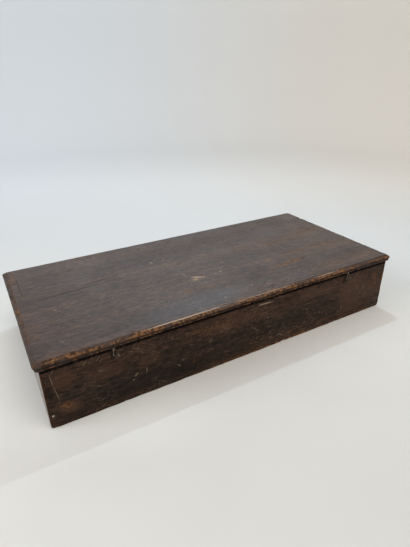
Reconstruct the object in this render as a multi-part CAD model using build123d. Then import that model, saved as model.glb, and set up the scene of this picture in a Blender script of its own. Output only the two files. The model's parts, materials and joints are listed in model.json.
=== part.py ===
from build123d import *
import os
from math import cos, radians, sin

# A low wooden pastel box with a hinged, moulded lid, a sliding till and fixed wells under it.
# Millimetres. X runs along the front, Y from the front to the back and Z up. The origin is
# under the middle of the closed box, on the surface that it stands on.

# Lid
lid_length = 500.0
lid_depth = 228.5
lid_thickness = 8.0
end_overhang = 5.3
front_overhang = 3.6
lid_seat_gap = 0.3

# Moulding on the lid's front and end edges, from the underside upwards: a small bead, a groove,
# a round nose that stands out furthest, and a nearly flat band that a small step parts from the top
bead_inset = 1.1
bead_height = 2.0
bead_round = 0.6
groove_depth = 1.0
groove_height = 0.8
nose_under_reach = 1.2
nose_under_height = 1.6
nose_top_reach = 2.4
nose_top_height = 2.8
moulding_width = 5.2
step_height = 0.5
corner_ease = 0.4

# Case
case_height = 76.4
board_thickness = 8.0
corner_lap = 4.0
case_arris = 1.0
bottom_thickness = 6.0
bottom_lap = 4.0

# Wells in the bottom of the case
divider_thickness = 4.0
divider_fit = 0.1
housing_depth = 2.0
cross_divider_count = 3

# Runners that carry the till
runner_width = 5.0
runner_height = 6.0
runner_top = 40.0
divider_below_runner_top = 0.6

# Till
till_length = 236.0
till_height = 28.0
till_wall = 5.0
till_lap = 2.5
till_arris = 0.8
till_side_gap = 0.5
till_end_gap = 0.5
till_running_gap = 0.2
till_floor_thickness = 3.0
till_floor_lap = 2.5
lane_count = 9
lane_strip_thickness = 2.5
lane_strip_height = 17.0
lane_strip_housing = 1.5
finger_dip_width = 44.0
finger_dip_depth = 7.0
finger_dip_shoulder = 0.55
finger_dip_shoulder_drop = 0.75
finger_dip_slope = 0.6

# Battens inside the lid
batten_width = 22.0
batten_thickness = 5.0
batten_chamfer = 2.0
batten_end_gap = 7.0
batten_spacing = 300.0

# Butt hinges
hinge_spacing = 320.0
hinge_length = 38.0
leaf_thickness = 1.2
leaf_reach = 7.0
leaf_fit = 0.1
knuckle_radius = 2.2
knuckle_clearance = 0.3
knuckle_count = 5
knuckle_end_gap = 0.2
hinge_pin_radius = 1.0
hinge_pin_clearance = 0.05
hinge_pin_end = 0.6
hinge_pin_end_round = 0.33

# Screws
screw_head_radius = 1.9
screw_head_height = 1.0
screw_shank_radius = 0.9
screw_point = 1.2
screw_slot_width = 0.5
screw_slot_depth = 0.5
hinge_screw_length = 6.5
hinge_screw_spacing = 24.0
batten_screw_length = 10.5
batten_screw_spacing = 80.0

# Cut nails
nail_width = 1.4
nail_tip_width = 0.6
nail_head_width = 2.2
nail_head_height = 0.7
corner_nail_length = 22.0
corner_nail_spacing = 22.0
corner_nail_lowest = 17.0
corner_nail_count = 3
bottom_nail_length = 20.0
runner_nail_length = 11.0

# Catches
left_hook_x = -172.0
right_hook_x = 161.0
hook_wire_radius = 0.6
hook_length = 8.6
hook_tip_length = 3.0
hook_bend_radius = 1.0
hook_face_gap = 0.2
hook_pin_radius = 0.6
hook_pin_clearance = 0.05
hook_pin_depth = 7.0
hook_pin_height = 1.0
hook_pin_head_radius = 1.4
hook_pin_head_height = 0.8
hook_pin_head_round = 0.64
hang_angle = 5.5
latched_angle = 14.0
eye_offset = 4.0
eye_wire_radius = 0.7
eye_hole_radius = 1.5
eye_shank_depth = 6.0
eye_point_length = 1.4
eye_point_radius = 0.23

# Places that follow from the sizes above
knuckle_stand_off = knuckle_radius + knuckle_clearance
back_reach = knuckle_stand_off + knuckle_radius
hook_stand_off = hook_face_gap + hook_wire_radius
eye_ring_radius = eye_hole_radius + eye_wire_radius
front_reach = hook_stand_off + eye_ring_radius + eye_wire_radius

lid_left = -lid_length / 2
lid_right = lid_length / 2
lid_front = (front_reach - back_reach - lid_depth) / 2
lid_back = lid_front + lid_depth
lid_underside = case_height + lid_seat_gap
lid_top = lid_underside + lid_thickness

case_left = lid_left + end_overhang
case_right = lid_right - end_overhang
case_front = lid_front + front_overhang
case_back = lid_back

inner_left = case_left + board_thickness
inner_right = case_right - board_thickness
inner_front = case_front + board_thickness
inner_back = case_back - board_thickness
inner_length = inner_right - inner_left
inner_depth = inner_back - inner_front
inner_middle = (inner_front + inner_back) / 2

runner_bottom = runner_top - runner_height
divider_top = runner_top - divider_below_runner_top
divider_middle = (bottom_thickness + divider_top) / 2
well_length = (inner_length - cross_divider_count * divider_thickness) / (cross_divider_count + 1)
cross_divider_places = [
    inner_left + (i + 1) * well_length + (i + 0.5) * divider_thickness
    for i in range(cross_divider_count)
]

till_left = inner_left + till_end_gap
till_right = till_left + till_length
till_front = inner_front + till_side_gap
till_back = inner_back - till_side_gap
till_bottom = runner_top + till_running_gap
till_top = till_bottom + till_height
till_floor_top = till_bottom + till_floor_thickness
till_inner_depth = till_back - till_front - 2 * till_wall
lane_width = (till_inner_depth - (lane_count - 1) * lane_strip_thickness) / lane_count

hinge_axis_y = lid_back + knuckle_stand_off
hinge_axis_z = case_height + lid_seat_gap / 2
hinge_places = {"left": -hinge_spacing / 2, "right": hinge_spacing / 2}
batten_places = {"left": -batten_spacing / 2, "right": batten_spacing / 2}

hook_places = {"left": left_hook_x, "right": right_hook_x}
hook_plane_y = lid_front - hook_stand_off
hook_pivot_z = lid_underside + hook_pin_height
hook_ring_radius = hook_pin_radius + hook_pin_clearance + hook_wire_radius

tiny = 0.001
past_face = 1.0


def span(a, b):
    """Two ends in order."""
    return (min(a, b), max(a, b))


def around(middle, width):
    """The two ends of a width about its middle."""
    return (middle - width / 2, middle + width / 2)


def block(x, y, z):
    """A rectangular piece between three pairs of low and high values."""
    middle = [(low + high) / 2 for low, high in (x, y, z)]
    size = [high - low for low, high in (x, y, z)]
    return Pos(*middle) * Box(*size)


def rebated_sides(x, y, z, wall, lap):
    """Front, back, left and right boards of a box. The ends sit in rebates in the long boards."""
    left = block((x[0], x[0] + wall), (y[0] + lap, y[1] - lap), z)
    right = block((x[1] - wall, x[1]), (y[0] + lap, y[1] - lap), z)
    front = block(x, (y[0], y[0] + wall), z)
    back = block(x, (y[1] - wall, y[1]), z)
    return front, back, left, right


def soften_long(board, inner_y, radius):
    """Round every arris of a front or back board that isn't on its inner face."""
    outer = board.edges().filter_by(lambda e: abs(e.center().Y - inner_y) > tiny)
    return fillet(outer, radius)


def soften_end(board, inner_x, radius):
    """Round the long outer arrises of an end board."""
    outer = board.edges().filter_by(Axis.Y).filter_by(lambda e: abs(e.center().X - inner_x) > tiny)
    return fillet(outer, radius)


# Fasteners are drawn pointing down, with the top of the head at the origin


def cut_nail(length):
    """A square nail that tapers to a blunt tip under a flat head."""
    head = block(around(0, nail_head_width), around(0, nail_head_width), (-nail_head_height, 0))
    top = Pos(0, 0, -nail_head_height) * Rectangle(nail_width, nail_width)
    tip = Pos(0, 0, -length) * Rectangle(nail_tip_width, nail_tip_width)
    return head + loft([top, tip])


def screw_blank(length):
    """A countersunk wood screw without its slot, which is also the shape of its hole."""
    outline = Polyline(
        (0, 0),
        (screw_head_radius, 0),
        (screw_shank_radius, -screw_head_height),
        (screw_shank_radius, -length + screw_point),
        (0, -length),
        close=True,
    )
    return revolve(Plane.XZ * make_face(outline), Axis.Z)


def slotted_screw(length):
    slot = block(
        around(0, 2 * (screw_head_radius + past_face)),
        around(0, screw_slot_width),
        (-screw_slot_depth, past_face),
    )
    return screw_blank(length) - slot


# Where each set of fasteners goes


def corner_nail_places():
    """Through the front and back boards into the end boards."""
    places = []
    for x in (case_left + board_thickness / 2, case_right - board_thickness / 2):
        for i in range(corner_nail_count):
            z = corner_nail_lowest + i * corner_nail_spacing
            places.append(Location((x, case_front, z), (90, 0, 0)))
            places.append(Location((x, case_back, z), (-90, 0, 0)))
    return places


def bottom_nail_places():
    """Up through the bottom board into the four sides."""
    inset = board_thickness - bottom_lap / 2
    places = []
    for y in (case_front + inset, case_back - inset):
        for i in range(cross_divider_count + 1):
            x = inner_left + well_length / 2 + i * (well_length + divider_thickness)
            places.append(Location((x, y, 0), (180, 0, 0)))
    for x in (case_left + inset, case_right - inset):
        for y in around(inner_middle, inner_depth / 2):
            places.append(Location((x, y, 0), (180, 0, 0)))
    return places


def runner_nail_places():
    """Through the runners into the front and back boards."""
    z = runner_top - runner_height / 2
    places = []
    for i in range(cross_divider_count + 1):
        x = inner_left + well_length / 2 + i * (well_length + divider_thickness)
        places.append(Location((x, inner_front + runner_width, z), (-90, 0, 0)))
        places.append(Location((x, inner_back - runner_width, z), (90, 0, 0)))
    return places


def hinge_screw_places(x, face_z, turn):
    y = lid_back - leaf_reach / 2
    step = hinge_screw_spacing / 2
    return [Location((x + dx, y, face_z), (turn, 0, 0)) for dx in (-step, step)]


def batten_screw_places(x):
    z = lid_underside - batten_thickness
    steps = (-batten_screw_spacing, 0, batten_screw_spacing)
    return [Location((x, inner_middle + dy, z), (180, 0, 0)) for dy in steps]


def group(make, length, places):
    """One fastener at each place, as separate solids."""
    return [place * make(length) for place in places]


def cut_by(piece, cutters):
    for cutter in cutters:
        piece -= cutter
    return piece


corner_nails = group(cut_nail, corner_nail_length, corner_nail_places())
bottom_nails = group(cut_nail, bottom_nail_length, bottom_nail_places())
runner_nails = group(cut_nail, runner_nail_length, runner_nail_places())


# Case: four boards, a bottom let in from below, dividers and runners


def bottom_blank():
    inset = board_thickness - bottom_lap
    x = (case_left + inset, case_right - inset)
    y = (case_front + inset, case_back - inset)
    return block(x, y, (0, bottom_thickness))


def cross_divider_housings():
    """Grooves in the front and back boards for the ends of the cross dividers."""
    y = (inner_front - housing_depth, inner_back + housing_depth)
    width = divider_thickness + 2 * divider_fit
    return [block(around(x, width), y, (bottom_thickness, runner_bottom)) for x in cross_divider_places]


def long_divider_housing():
    """Grooves in the end boards for the ends of the long divider."""
    x = (inner_left - housing_depth, inner_right + housing_depth)
    width = divider_thickness + 2 * divider_fit
    return block(x, around(inner_middle, width), (bottom_thickness, divider_top))


def hinge_gain(x, z_low, z_high):
    """The shallow recess that a hinge leaf is let into."""
    width = hinge_length + 2 * leaf_fit
    return block(around(x, width), (lid_back - leaf_reach - leaf_fit, lid_back), (z_low, z_high))


def case_boards():
    x = (case_left, case_right)
    y = (case_front, case_back)
    z = (0, case_height)
    front, back, left, right = rebated_sides(x, y, z, board_thickness, corner_lap)
    front = soften_long(front, inner_front, case_arris) - left - right
    back = soften_long(back, inner_back, case_arris) - left - right
    left = soften_end(left, inner_left, case_arris)
    right = soften_end(right, inner_right, case_arris)

    bottom = bottom_blank()
    front = cut_by(front, [bottom, *cross_divider_housings(), *corner_nails, *bottom_nails, *runner_nails])
    front = cut_by(front, [eye_blank(x) for x in hook_places.values()])
    back = cut_by(back, [bottom, *cross_divider_housings(), *corner_nails, *bottom_nails, *runner_nails])
    for hinge_x in hinge_places.values():
        back -= hinge_gain(hinge_x, case_height - leaf_thickness, case_height)
        screws = group(screw_blank, hinge_screw_length, hinge_screw_places(hinge_x, case_height, 0))
        back = cut_by(back, screws)
    left = cut_by(left, [bottom, long_divider_housing(), *corner_nails, *bottom_nails])
    right = cut_by(right, [bottom, long_divider_housing(), *corner_nails, *bottom_nails])
    return {
        "front_board": front,
        "back_board": back,
        "left_end_board": left,
        "right_end_board": right,
        "bottom_board": cut_by(bottom, bottom_nails),
    }


def runners():
    x = (inner_left, inner_right)
    z = (runner_bottom, runner_top)
    front = block(x, (inner_front, inner_front + runner_width), z)
    back = block(x, (inner_back - runner_width, inner_back), z)
    return {
        "front_runner": cut_by(front, runner_nails),
        "back_runner": cut_by(back, runner_nails),
    }


def dividers():
    """Half-lapped dividers: the long one is slotted from the top and the cross ones from below."""
    slot = divider_thickness + 2 * divider_fit
    x = (inner_left - housing_depth + divider_fit, inner_right + housing_depth - divider_fit)
    y = (inner_front - housing_depth + divider_fit, inner_back + housing_depth - divider_fit)
    long = block(x, around(inner_middle, divider_thickness), (bottom_thickness, divider_top))
    made = {}
    for i, place in enumerate(cross_divider_places):
        long -= block(around(place, slot), around(inner_middle, slot), (divider_middle, divider_top))
        cross = block(around(place, divider_thickness), y, (bottom_thickness, divider_top))
        cross -= block(around(place, slot), around(inner_middle, slot), (bottom_thickness, divider_middle))
        for end, inner, step in ((y[0], inner_front, 1), (y[1], inner_back, -1)):
            shoulder = inner + step * (runner_width + divider_fit)
            cross -= block(around(place, slot), span(end, shoulder), (runner_bottom, divider_top))
        made[f"cross_divider_{i + 1}"] = cross
    made["long_divider"] = long
    return made


# Lid: one board with a moulded edge, and two battens screwed to its underside


def moulding_waste():
    """What is planed off the edge, from its outline inwards and its underside upwards."""
    groove_inset = bead_inset + groove_depth
    groove_top = bead_height + groove_height
    nose_height = groove_top + nose_under_height
    bead = FilletPolyline(
        (groove_inset, 0),
        (bead_inset, 0),
        (bead_inset, bead_height),
        (groove_inset, bead_height),
        radius=bead_round,
    )
    groove = Polyline((groove_inset, bead_height), (groove_inset, groove_top), (nose_under_reach, groove_top))
    nose_under = EllipticalCenterArc(
        (nose_under_reach, nose_height), nose_under_reach, nose_under_height, 180, arc_size=90
    )
    nose_top = EllipticalCenterArc((nose_top_reach, nose_height), nose_top_reach, nose_top_height, 90, arc_size=90)
    outside = Polyline(
        (nose_top_reach, nose_height + nose_top_height),
        (moulding_width, lid_thickness - step_height),
        (moulding_width, lid_thickness + past_face),
        (-2 * past_face, lid_thickness + past_face),
        (-2 * past_face, -past_face),
        (groove_inset, -past_face),
        (groove_inset, 0),
    )
    return make_face(Curve() + [bead, groove, nose_under, nose_top, outside])


def moulded_board():
    """A board a little too long and too wide at the front, cut to its moulded outline."""
    corner_radius = moulding_width + corner_ease
    x = (lid_left - past_face, lid_right + past_face)
    board = block(x, (lid_front - past_face, lid_back), (lid_underside, lid_top))
    front_corners = board.edges().filter_by(Axis.Z).group_by(Axis.Y)[0]
    board = fillet(front_corners, corner_radius + past_face)
    edge = FilletPolyline(
        (lid_left, lid_back + past_face, lid_underside),
        (lid_left, lid_front, lid_underside),
        (lid_right, lid_front, lid_underside),
        (lid_right, lid_back + past_face, lid_underside),
        radius=corner_radius,
    )
    start = Plane(origin=edge @ 0, x_dir=(1, 0, 0), z_dir=(0, -1, 0))
    return board - sweep(start * moulding_waste(), edge)


def lid_board():
    board = moulded_board()
    for x in hinge_places.values():
        board -= hinge_gain(x, lid_underside, lid_underside + leaf_thickness)
        board = cut_by(board, group(screw_blank, hinge_screw_length, hinge_screw_places(x, lid_underside, 180)))
    for x in batten_places.values():
        board = cut_by(board, group(screw_blank, batten_screw_length, batten_screw_places(x)))
    return cut_by(board, [hook_pin(x) for x in hook_places.values()])


def batten(x):
    y = (inner_front + batten_end_gap, inner_back - batten_end_gap)
    piece = block(around(x, batten_width), y, (lid_underside - batten_thickness, lid_underside))
    low_edges = piece.edges().group_by(Axis.Z)[0]
    piece = chamfer(low_edges, batten_chamfer)
    return cut_by(piece, group(screw_blank, batten_screw_length, batten_screw_places(x)))


# Hinges: two leaves with interleaved knuckles on one pin


def knuckle_span(x, index):
    pitch = hinge_length / knuckle_count
    start = x - hinge_length / 2 + index * pitch
    return (start, start + pitch)


def knuckle(x, index, radius):
    low, high = knuckle_span(x, index)
    if index > 0:
        low += knuckle_end_gap / 2
    if index < knuckle_count - 1:
        high -= knuckle_end_gap / 2
    centre = Location(((low + high) / 2, hinge_axis_y, hinge_axis_z), (0, 90, 0))
    return centre * Cylinder(radius, high - low)


def hinge_leaf(x, plate_low, first_knuckle, screws):
    """A leaf whose plate is notched round the other leaf's knuckles."""
    plate_z = (plate_low, plate_low + leaf_thickness)
    leaf = block(around(x, hinge_length), (lid_back - leaf_reach, hinge_axis_y), plate_z)
    for i in range(knuckle_count):
        if i % 2 != first_knuckle:
            low, high = knuckle_span(x, i)
            gap = (low - knuckle_end_gap / 2, high + knuckle_end_gap / 2)
            leaf -= block(gap, (hinge_axis_y - knuckle_stand_off, hinge_axis_y + past_face), plate_z)
    for i in range(first_knuckle, knuckle_count, 2):
        leaf += knuckle(x, i, knuckle_radius)
    bore = Location((x, hinge_axis_y, hinge_axis_z), (0, 90, 0))
    leaf -= bore * Cylinder(hinge_pin_radius + hinge_pin_clearance, hinge_length + 2 * past_face)
    return cut_by(leaf, screws)


def hinge_pin(x):
    """A plain pin with slightly domed ends."""
    length = hinge_length + 2 * hinge_pin_end
    pin = Cylinder(hinge_pin_radius, length)
    pin = fillet(pin.edges().filter_by(GeomType.CIRCLE), hinge_pin_end_round)
    return Location((x, hinge_axis_y, hinge_axis_z), (0, 90, 0)) * pin


def hinge(side, x):
    case_places = hinge_screw_places(x, case_height, 0)
    lid_places = hinge_screw_places(x, lid_underside, 180)
    case_holes = group(screw_blank, hinge_screw_length, case_places)
    lid_holes = group(screw_blank, hinge_screw_length, lid_places)
    return {
        f"{side}_hinge_case_leaf": hinge_leaf(x, case_height - leaf_thickness, 0, case_holes),
        f"{side}_hinge_lid_leaf": hinge_leaf(x, lid_underside, 1, lid_holes),
        f"{side}_hinge_pin": hinge_pin(x),
        f"{side}_hinge_case_screws": group(slotted_screw, hinge_screw_length, case_places),
        f"{side}_hinge_lid_screws": group(slotted_screw, hinge_screw_length, lid_places),
    }


# Catches: a wire hook on a round-headed pin in the lid's edge, and a screw eye in the front board


def facing_front(x, y, z):
    """A plane that faces the front: its own X to the right, its own Y up."""
    return Plane(origin=(x, y, z), x_dir=(1, 0, 0), z_dir=(0, -1, 0))


def hook_pin(x):
    """A pin whose domed head keeps the hook's ring on."""
    reach = 2 * hook_stand_off
    shank_length = hook_pin_depth + reach
    shank = Pos(0, 0, (reach - hook_pin_depth) / 2) * Cylinder(hook_pin_radius, shank_length)
    head = Pos(0, 0, reach + hook_pin_head_height / 2) * Cylinder(hook_pin_head_radius, hook_pin_head_height)
    rim = head.edges().filter_by(GeomType.CIRCLE).sort_by(Axis.Z)[-1]
    head = fillet(rim, hook_pin_head_round)
    return facing_front(x, lid_front, hook_pivot_z) * (shank + head)


def hook(x):
    """Bent wire: a ring round the pin, a shank and a short tip. At rest it hangs by its own weight."""
    ring = Torus(hook_ring_radius, hook_wire_radius)
    wire = FilletPolyline(
        (0, -hook_ring_radius, 0),
        (0, -hook_length, 0),
        (hook_tip_length, -hook_length, 0),
        radius=hook_bend_radius,
    )
    shank = sweep(Plane(origin=wire @ 0, z_dir=wire % 0) * Circle(hook_wire_radius), wire)
    tip = Pos(hook_tip_length, -hook_length, 0) * Sphere(hook_wire_radius)
    hanging = Rot(0, 0, -hang_angle) * (ring + shank + tip)
    return facing_front(x, hook_plane_y, hook_pivot_z) * hanging


def eye_height():
    """Where the hook's tip crosses the eye when the hook is swung over to hold the lid."""
    turn = radians(latched_angle)
    along_tip = (eye_offset - hook_length * sin(turn)) / cos(turn)
    return hook_pivot_z + along_tip * sin(turn) - hook_length * cos(turn)


def eye_blank(x):
    """A wire eye that stands out from the front board, with its ring square to the board."""
    ring = Rot(0, 90, 0) * Torus(eye_ring_radius, eye_wire_radius)
    shank_start = -eye_ring_radius
    point_end = hook_plane_y - case_front - eye_shank_depth
    shank_end = point_end + eye_point_length
    shank = Pos(0, 0, (shank_start + shank_end) / 2) * Cylinder(eye_wire_radius, shank_start - shank_end)
    tip = Pos(0, 0, (shank_end + point_end) / 2) * Cone(eye_point_radius, eye_wire_radius, eye_point_length)
    return facing_front(x + eye_offset, hook_plane_y, eye_height()) * (ring + shank + tip)


# Till: a shallow tray with narrow lanes, which slides along the case on the runners


def lane_strip(index):
    y_low = till_front + till_wall + (index + 1) * lane_width + index * lane_strip_thickness
    x = (till_left + till_wall - lane_strip_housing, till_right - till_wall + lane_strip_housing)
    return block(x, (y_low, y_low + lane_strip_thickness), (till_floor_top, till_floor_top + lane_strip_height))


def finger_dip():
    """A scoop across the top of the till's ends, from two easy curves and a flat middle."""
    half = finger_dip_width / 2
    shoulder = half * finger_dip_shoulder
    shoulder_drop = finger_dip_depth * finger_dip_shoulder_drop
    outline = Spline(
        (-half, 0),
        (-shoulder, -shoulder_drop),
        (0, -finger_dip_depth),
        (shoulder, -shoulder_drop),
        (half, 0),
        tangents=[(1, -finger_dip_slope), (1, finger_dip_slope)],
    )
    above = Polyline((half, 0), (half, past_face), (-half, past_face), (-half, 0))
    end = Plane(origin=(till_left - past_face, inner_middle, till_top), x_dir=(0, 1, 0), z_dir=(1, 0, 0))
    return extrude(end * make_face(outline + above), till_length + 2 * past_face)


def till():
    x = (till_left, till_right)
    y = (till_front, till_back)
    z = (till_bottom, till_top)
    front, back, left, right = rebated_sides(x, y, z, till_wall, till_lap)
    front = soften_long(front, till_front + till_wall, till_arris) - left - right
    back = soften_long(back, till_back - till_wall, till_arris) - left - right
    left = soften_end(left, till_left + till_wall, till_arris)
    right = soften_end(right, till_right - till_wall, till_arris)
    inset = till_wall - till_floor_lap
    floor = block((x[0] + inset, x[1] - inset), (y[0] + inset, y[1] - inset), (till_bottom, till_floor_top))
    strips = [lane_strip(i) for i in range(lane_count - 1)]
    dip = finger_dip()
    made = {
        "till_front_rail": front - floor,
        "till_back_rail": back - floor,
        "till_left_end": cut_by(left, [floor, dip, *strips]),
        "till_right_end": cut_by(right, [floor, dip, *strips]),
        "till_floor": floor,
    }
    for i, strip in enumerate(strips):
        made[f"till_lane_strip_{i + 1}"] = strip
    return made


def all_pieces():
    pieces = {}
    pieces.update(case_boards())
    pieces.update(runners())
    pieces.update(dividers())
    pieces["corner_nails"] = corner_nails
    pieces["bottom_nails"] = bottom_nails
    pieces["runner_nails"] = runner_nails
    pieces["lid_board"] = lid_board()
    screws = []
    for side, x in batten_places.items():
        pieces[f"{side}_lid_batten"] = batten(x)
        screws += group(slotted_screw, batten_screw_length, batten_screw_places(x))
    pieces["lid_batten_screws"] = screws
    for side, x in hinge_places.items():
        pieces.update(hinge(side, x))
    for side, x in hook_places.items():
        pieces[f"{side}_hook_pin"] = hook_pin(x)
        pieces[f"{side}_hook"] = hook(x)
        pieces[f"{side}_catch_eye"] = eye_blank(x)
    pieces.update(till())
    return pieces


os.makedirs("parts", exist_ok=True)
for name, piece in all_pieces().items():
    shape = Compound(children=piece) if isinstance(piece, list) else piece
    export_step(shape, f"parts/{name}.step")

print("till travel", round(inner_length - till_length - 2 * till_end_gap, 3))
print("lid hinge axis y, z", round(hinge_axis_y, 3), round(hinge_axis_z, 3))
print("hook pivot y, z", round(hook_plane_y, 3), round(hook_pivot_z, 3))
print("swing from rest to latched", round(hang_angle + latched_angle, 3))
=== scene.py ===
# %% [markdown]
# # A pastel box in rubbed, dark stained wood
#
# The real object is an old artist's case: thin boards, a moulded lid on two small hinges, two wire
# catches, and a sliding till over open wells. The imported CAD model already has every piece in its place.
# It could be rebuilt here from nothing, but then looks and motion would drift apart. So the model is
# loaded as a fixed frame, and each step below only gives its pieces their surface and their age.

# %% Load the frame
import json
import math
import random

import bmesh
import bpy
import numpy as np
from mathutils import Matrix, Vector, noise


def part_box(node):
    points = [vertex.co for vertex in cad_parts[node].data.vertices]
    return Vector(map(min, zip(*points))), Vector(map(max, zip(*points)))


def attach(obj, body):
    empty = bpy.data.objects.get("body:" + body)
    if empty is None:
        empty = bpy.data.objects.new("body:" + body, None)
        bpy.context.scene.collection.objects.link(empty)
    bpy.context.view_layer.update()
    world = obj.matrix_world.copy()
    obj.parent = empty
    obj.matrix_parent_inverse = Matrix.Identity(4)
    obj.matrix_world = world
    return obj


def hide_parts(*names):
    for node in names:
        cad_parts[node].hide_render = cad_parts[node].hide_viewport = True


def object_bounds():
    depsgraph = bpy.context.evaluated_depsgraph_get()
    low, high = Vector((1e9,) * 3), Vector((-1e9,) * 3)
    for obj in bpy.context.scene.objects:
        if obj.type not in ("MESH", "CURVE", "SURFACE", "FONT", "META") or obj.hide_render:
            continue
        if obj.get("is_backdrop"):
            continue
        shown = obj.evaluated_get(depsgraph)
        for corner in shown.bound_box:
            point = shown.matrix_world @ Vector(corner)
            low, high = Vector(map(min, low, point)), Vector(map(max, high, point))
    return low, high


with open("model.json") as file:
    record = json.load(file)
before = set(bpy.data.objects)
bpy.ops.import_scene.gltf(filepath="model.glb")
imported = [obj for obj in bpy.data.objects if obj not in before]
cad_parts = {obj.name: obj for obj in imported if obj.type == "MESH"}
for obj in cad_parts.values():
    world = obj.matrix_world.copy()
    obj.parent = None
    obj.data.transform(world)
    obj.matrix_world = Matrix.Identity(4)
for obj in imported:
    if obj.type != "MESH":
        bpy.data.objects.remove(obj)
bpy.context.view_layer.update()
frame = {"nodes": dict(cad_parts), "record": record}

mm = 0.001


def into_scene(name, data):
    """A new object in the scene, made from a mesh, a camera or a lamp."""
    made = bpy.data.objects.new(name, data)
    bpy.context.scene.collection.objects.link(made)
    return made


# %% [markdown]
# ## Places on the box
#
# The planes of the marks, masks and cuts below come from the boards themselves. They could be typed in
# from the drawing, but read from the frame they stay true if the box is resized. The moulding's width
# and the bow under the lid's front edge are typed in, because the boards' outer sizes don't tell them.

# %% Read the boards' places
lid_low, lid_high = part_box("lid_board")
front_low, front_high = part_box("front_board")
back_low, back_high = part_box("back_board")
inner_low = Vector((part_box("left_end_board")[1].x, front_high.y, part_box("bottom_board")[1].z))
inner_high = Vector((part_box("right_end_board")[0].x, back_low.y, lid_low.z))
moulding_width = 5.2 * mm
bow_height = 1.9 * mm
half_length = (lid_high.x - lid_low.x) / 2
print("inside of the case, mm:", [round(v / mm, 1) for v in inner_high - inner_low])


# %% [markdown]
# ## The camera
#
# The photograph was taken by hand, from above the left end of the front. A camera can be turned by eye
# until it looks right, but a box has long straight edges, and these fix the view. The place, turn and
# focal length below come from fitting those edges, so the model's edges fall on the photograph's.

# %% Set up the camera
camera_place = Vector((-0.26120, -0.46004, 0.33521))
camera_pitch = math.radians(26.676)
camera_yaw = math.radians(29.722)
camera_roll = math.radians(0.4505)
image_height = 547
focal_pixels = 416.36
sensor_side = 36.0

forward = Vector((
    math.sin(camera_yaw) * math.cos(camera_pitch),
    math.cos(camera_yaw) * math.cos(camera_pitch),
    -math.sin(camera_pitch),
))
level_right = Vector((math.cos(camera_yaw), -math.sin(camera_yaw), 0))
level_down = forward.cross(level_right)
right = level_right * math.cos(camera_roll) + level_down * math.sin(camera_roll)
down = level_down * math.cos(camera_roll) - level_right * math.sin(camera_roll)
turn = Matrix((right, -down, -forward)).transposed()

camera_data = bpy.data.cameras.new("photo_camera")
camera_data.sensor_fit = "VERTICAL"
camera_data.sensor_height = sensor_side
camera_data.lens = focal_pixels / image_height * sensor_side
camera_data.clip_start = 0.01
camera = into_scene("photo_camera", camera_data)
camera.matrix_world = Matrix.Translation(camera_place) @ turn.to_4x4()
bpy.context.scene.camera = camera
bpy.context.scene.view_settings.view_transform = "Standard"
print("lens, mm:", round(camera_data.lens, 2))


# %% [markdown]
# ## Short names for shader nodes
#
# A finish is a chain of shader nodes, and each one takes four or five lines to make, set and link. The
# helpers below say the same in one line: an input is either a plain value or the output of another node,
# and a new node goes into the tree that this output belongs to. The mix node has sockets for numbers,
# vectors and colours, so its colours are reached by their place.

# %% Node helpers
COLOUR_INPUTS = (6, 7)
COLOUR_RESULT = 2
NUMBER_INPUTS = (2, 3)


def is_output(value):
    """Whether a value is the output of another node."""
    return isinstance(value, bpy.types.NodeSocket)


def feed(node, inputs):
    """Gives a node its inputs. Each is a plain value or the output of another node."""
    for name, value in inputs.items():
        if is_output(value):
            node.id_data.links.new(value, node.inputs[name])
        else:
            node.inputs[name].default_value = value


def add(kind, inputs, **settings):
    """A new node of this kind. At least one of its inputs has to be another node's output."""
    tree = next(value for value in inputs.values() if is_output(value)).id_data
    made = tree.nodes.new(kind)
    for name, value in settings.items():
        setattr(made, name, value)
    feed(made, inputs)
    return made


def calc(operation, *values):
    """The result of one sum on numbers."""
    return add("ShaderNodeMath", dict(enumerate(values)), operation=operation).outputs[0]


def times(first, second):
    """A product, which also says where two masks overlap."""
    return calc("MULTIPLY", first, second)


def plus(first, second):
    """A sum."""
    return calc("ADD", first, second)


def minus(first, second):
    """A difference."""
    return calc("SUBTRACT", first, second)


def larger(first, second):
    """The larger of two values, which joins two masks."""
    return calc("MAXIMUM", first, second)


def vector_calc(operation, *values):
    """The result of one sum on vectors."""
    return add("ShaderNodeVectorMath", dict(enumerate(values)), operation=operation).outputs[0]


def ease(value, start, end, low=0.0, high=1.0):
    """A soft step: low before start, high after end."""
    inputs = {"Value": value, "From Min": start, "From Max": end, "To Min": low, "To Max": high}
    return add("ShaderNodeMapRange", inputs, interpolation_type="SMOOTHSTEP").outputs["Result"]


def blend(factor, first, second):
    """One colour over another."""
    inputs = {"Factor": factor}
    for place, colour in zip(COLOUR_INPUTS, (first, second)):
        inputs[place] = colour if is_output(colour) else (*colour, 1)
    return add("ShaderNodeMix", inputs, data_type="RGBA").outputs[COLOUR_RESULT]


def mottle(vector, scale, detail=3.0, roughness=0.55):
    """Soft random patches between 0 and 1, about 1 / scale metres across."""
    inputs = {"Vector": vector, "Scale": scale, "Detail": detail, "Roughness": roughness}
    return add("ShaderNodeTexNoise", inputs).outputs["Fac"]


def part(vector, axis):
    """One of a vector's three numbers."""
    return add("ShaderNodeSeparateXYZ", {0: vector}).outputs[axis]


def new_material(name):
    """A new material with its shader and each point's place.

    That is the place on its own piece, which stays the same when the piece moves.
    """
    material = bpy.data.materials.new(name)
    material.use_nodes = True
    nodes = material.node_tree.nodes
    return material, nodes["Principled BSDF"], nodes.new("ShaderNodeTexCoord").outputs["Object"]


def set_bump(skin, height, depth, strength):
    """Makes a height between 0 and 1 stand out by depth, in mm."""
    bump = add("ShaderNodeBump", {"Strength": strength, "Distance": depth * mm, "Height": height})
    feed(skin, {"Normal": bump.outputs["Normal"]})


def in_radians(angles):
    """The same turns, given in degrees, as the nodes take them."""
    return [math.radians(angle) for angle in angles]


print("node helpers ready")

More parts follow.
